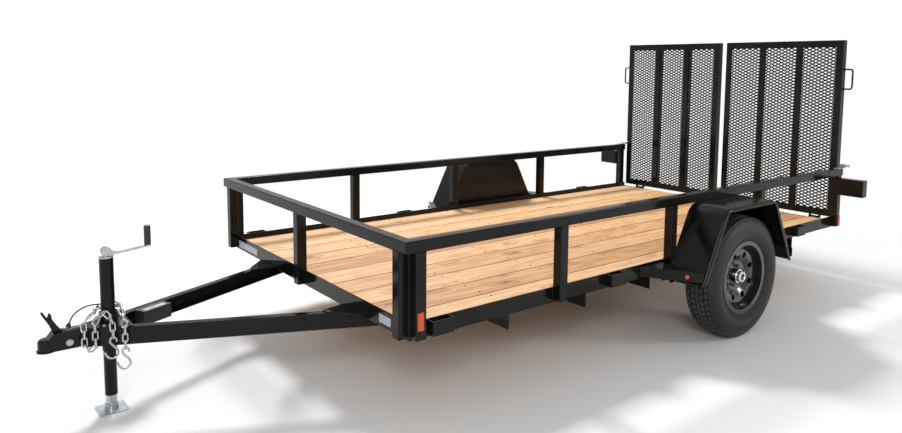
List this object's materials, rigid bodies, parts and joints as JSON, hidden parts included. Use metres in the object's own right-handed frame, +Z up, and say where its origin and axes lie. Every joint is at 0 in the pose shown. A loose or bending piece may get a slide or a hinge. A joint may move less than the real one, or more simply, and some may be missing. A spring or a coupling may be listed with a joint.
{
  "type": "utility trailer",
  "caption": "Single-axle open utility trailer with a plank deck, tube rails, mesh rear gates, steel fenders and an A-frame tongue on a jack.",
  "frame": {"origin": "on the ground, under the middle of the whole length and width", "axes": "+X towards the coupler, +Y to the trailer's left side, +Z up"},
  "size_m": [4.91, 2.494, 1.727],
  "materials": {
    "black_steel": "gloss black paint",
    "pine": "new planed pine",
    "tyre": "black rubber",
    "wheel_paint": "gloss black paint",
    "zinc": "bright zinc plate",
    "chrome_cap": "polished",
    "spring_steel": "satin black paint",
    "red_lens": "clear red moulding",
    "amber_lens": "clear amber moulding",
    "black_plastic": "moulded black",
    "lead": "black sheath"
  },
  "bodies": {
    "trailer": {"axle": "black_steel", "coupler": "black_steel", "coupler_latch": "black_steel", "crossmembers": "black_steel", "deck_boards": "pine", "document_box": "black_plastic", "fender_braces": "black_steel", "fender_left": "black_steel", "fender_right": "black_steel", "front_member": "black_steel", "front_posts": "black_steel", "gate_hinge_sleeves": "black_steel", "gate_latches": "zinc", "jack_crank": "zinc", "jack_grip": "black_plastic", "jack_plate": "black_steel", "jack_tube": "black_steel", "lamp_lead": "lead", "lamp_plug": "black_plastic", "latch_pin": "zinc", "light_boxes": "black_steel", "rear_member": "black_steel", "safety_chains": "zinc", "side_markers": "amber_lens", "side_posts": "black_steel", "side_rail_left": "black_steel", "side_rail_right": "black_steel", "spring_hangers": "black_steel", "spring_left": "spring_steel", "spring_right": "spring_steel", "stake_pockets": "black_steel", "tail_lamps": "red_lens", "tongue_gussets": "black_steel", "tongue_rail_left": "black_steel", "tongue_rail_right": "black_steel", "top_rail_front": "black_steel", "top_rail_left": "black_steel", "top_rail_right": "black_steel"},
    "wheel_left": {"tyre_left": "tyre", "rim_left": "wheel_paint", "hub_left": "chrome_cap"},
    "wheel_right": {"tyre_right": "tyre", "rim_right": "wheel_paint", "hub_right": "chrome_cap"},
    "gate_left": {"gate_frame_left": "black_steel", "gate_mesh_left": "black_steel", "gate_pins_left": "zinc", "gate_handle_left": "black_steel"},
    "gate_right": {"gate_frame_right": "black_steel", "gate_mesh_right": "black_steel", "gate_pins_right": "zinc", "gate_handle_right": "black_steel"},
    "jack_leg": {"jack_ram": "zinc", "jack_foot": "zinc"},
    "box_lid": {"document_box_lid": "black_plastic"}
  },
  "joints": [
    {"name": "wheel_left_spin", "type": "hinge", "parent": "trailer", "child": "wheel_left", "pos_m": [-0.815, 1.133, 0.344], "axis": [0, 1, 0], "continuous": true},
    {"name": "wheel_right_spin", "type": "hinge", "parent": "trailer", "child": "wheel_right", "pos_m": [-0.815, -1.133, 0.344], "axis": [0, 1, 0], "continuous": true},
    {"name": "gate_left_fold", "type": "hinge", "parent": "trailer", "child": "gate_left", "pos_m": [-2.43, 0.497, 0.425], "axis": [0, -1, 0], "range_deg": [0, 108]},
    {"name": "gate_right_fold", "type": "hinge", "parent": "trailer", "child": "gate_right", "pos_m": [-2.43, -0.497, 0.425], "axis": [0, -1, 0], "range_deg": [0, 108]},
    {"name": "jack_leg_slide", "type": "slide", "parent": "trailer", "child": "jack_leg", "axis": [0, 0, 1], "range_m": [-0.25, 0.03]},
    {"name": "document_lid_hinge", "type": "hinge", "parent": "trailer", "child": "box_lid", "pos_m": [1.91525, -0.15604, 0.3883], "axis": [0.9063, 0.4226, 0], "range_deg": [0, 90]}
  ]
}
